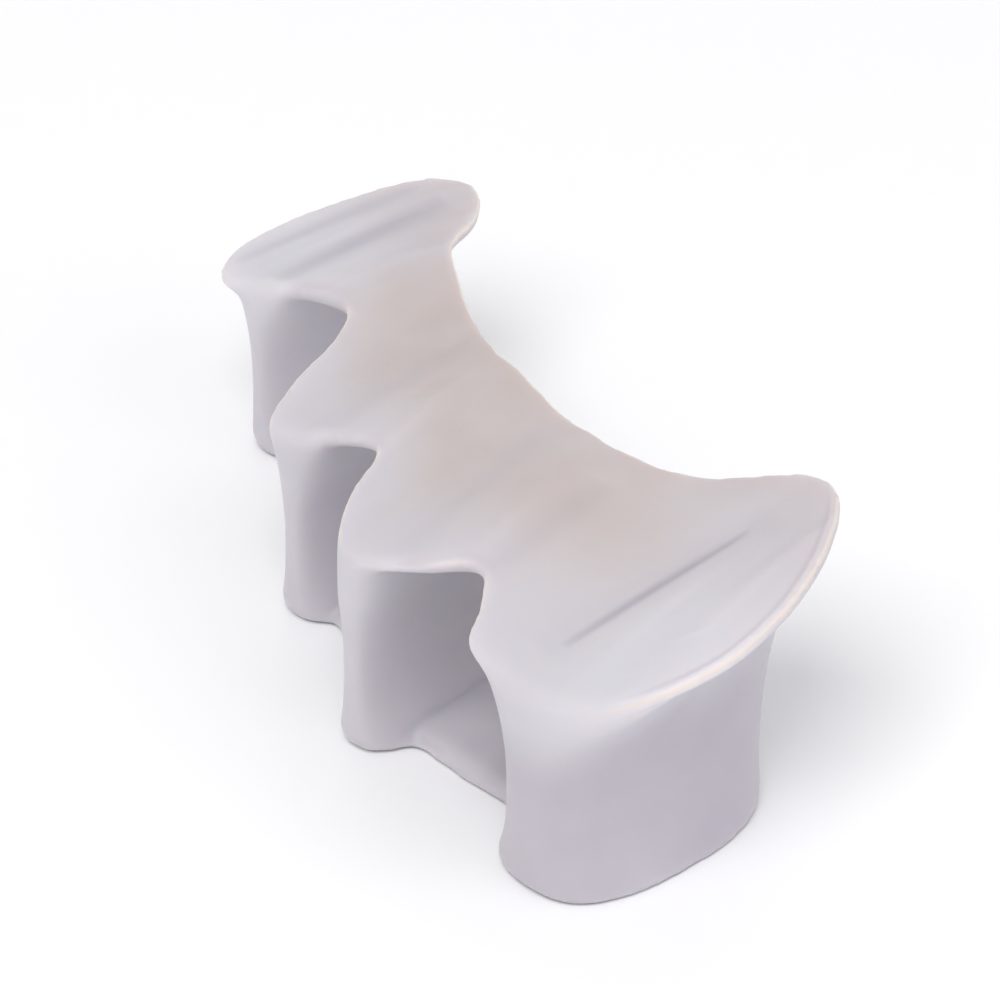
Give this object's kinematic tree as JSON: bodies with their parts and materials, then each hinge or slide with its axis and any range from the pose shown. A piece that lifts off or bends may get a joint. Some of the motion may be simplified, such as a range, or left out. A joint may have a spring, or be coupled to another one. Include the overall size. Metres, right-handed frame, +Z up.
{
  "type": "silicone toe separator",
  "caption": "Soft one-piece toe separator: a curved web over the toes, waisted spacers between them, loops for the middle toes and a wing at each end.",
  "frame": {"origin": "on the floor, under the middle of the part's plan", "axes": "+X across the toes towards the big-toe wing, -Y towards the toe tips, +Z up from the sole"},
  "size_m": [0.0722, 0.0472, 0.026],
  "materials": {
    "silicone": "milky translucent moulded silicone, satin"
  },
  "bodies": {
    "root": {"toe_separator": "silicone"}
  },
  "joints": []
}
